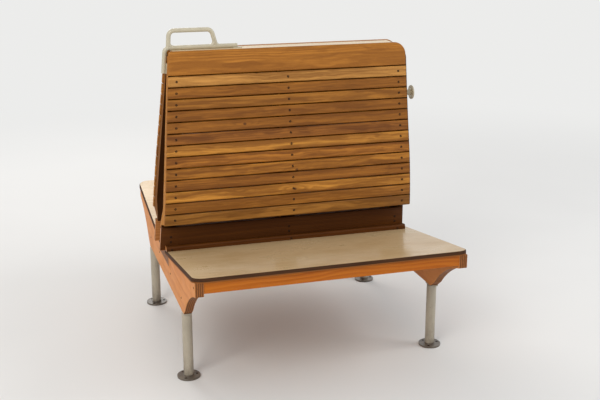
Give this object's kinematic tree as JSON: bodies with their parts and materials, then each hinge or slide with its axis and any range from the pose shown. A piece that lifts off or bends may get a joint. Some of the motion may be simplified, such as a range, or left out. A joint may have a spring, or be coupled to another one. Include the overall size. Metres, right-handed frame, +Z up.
{
  "type": "double-sided slatted railway bench",
  "caption": "Back-to-back wooden bench with slatted leaning backs, flat pans on shaped end panels, tube legs with floor flanges, a grab handle and a wall stay.",
  "frame": {"origin": "on the floor, in the middle of the bench's box", "axes": "+X from the aisle to the wall, +Y along the coach from the near seat to the far seat, +Z up"},
  "size_m": [0.9446, 1.146, 1.1],
  "materials": {
    "slat_wood": "satin varnish",
    "dark_wood": "satin varnish",
    "cap_wood": "gloss varnish",
    "rib_wood": "satin varnish",
    "panel_wood": "satin varnish",
    "rail_wood": "gloss varnish",
    "frame_wood": "satin varnish",
    "pan_laminate": "gloss laminate on plywood",
    "leg_paint": "gloss paint, worn",
    "handle_paint": "gloss paint, worn"
  },
  "bodies": {
    "root": {"slat_01_near": "slat_wood", "slat_01_far": "slat_wood", "slat_02_near": "slat_wood", "slat_02_far": "slat_wood", "slat_03_near": "slat_wood", "slat_03_far": "slat_wood", "slat_04_near": "slat_wood", "slat_04_far": "slat_wood", "slat_05_near": "slat_wood", "slat_05_far": "slat_wood", "slat_06_near": "slat_wood", "slat_06_far": "slat_wood", "slat_07_near": "slat_wood", "slat_07_far": "slat_wood", "slat_08_near": "slat_wood", "slat_08_far": "slat_wood", "slat_09_near": "slat_wood", "slat_09_far": "slat_wood", "slat_10_near": "slat_wood", "slat_10_far": "slat_wood", "slat_11_near": "slat_wood", "slat_11_far": "slat_wood", "slat_12_near": "slat_wood", "slat_12_far": "slat_wood", "slat_13_near": "slat_wood", "slat_13_far": "slat_wood", "top_board_near": "slat_wood", "top_board_far": "slat_wood", "lower_board_near": "dark_wood", "lower_board_far": "dark_wood", "rear_batten_near": "dark_wood", "rear_batten_far": "dark_wood", "top_cap": "cap_wood", "rib_aisle_near": "rib_wood", "rib_aisle_far": "rib_wood", "rib_middle_near": "rib_wood", "rib_middle_far": "rib_wood", "rib_wall_near": "rib_wood", "rib_wall_far": "rib_wood", "end_panel_aisle": "panel_wood", "end_panel_wall": "panel_wood", "front_rail_near": "rail_wood", "front_rail_far": "rail_wood", "centre_beam": "frame_wood", "seat_bearer_near": "frame_wood", "seat_bearer_far": "frame_wood", "seat_pan_near": "pan_laminate", "seat_pan_far": "pan_laminate", "leg_aisle_near": "leg_paint", "leg_aisle_far": "leg_paint", "leg_wall_near": "leg_paint", "leg_wall_far": "leg_paint", "grab_handle": "handle_paint", "wall_stay": "handle_paint"}
  },
  "joints": []
}
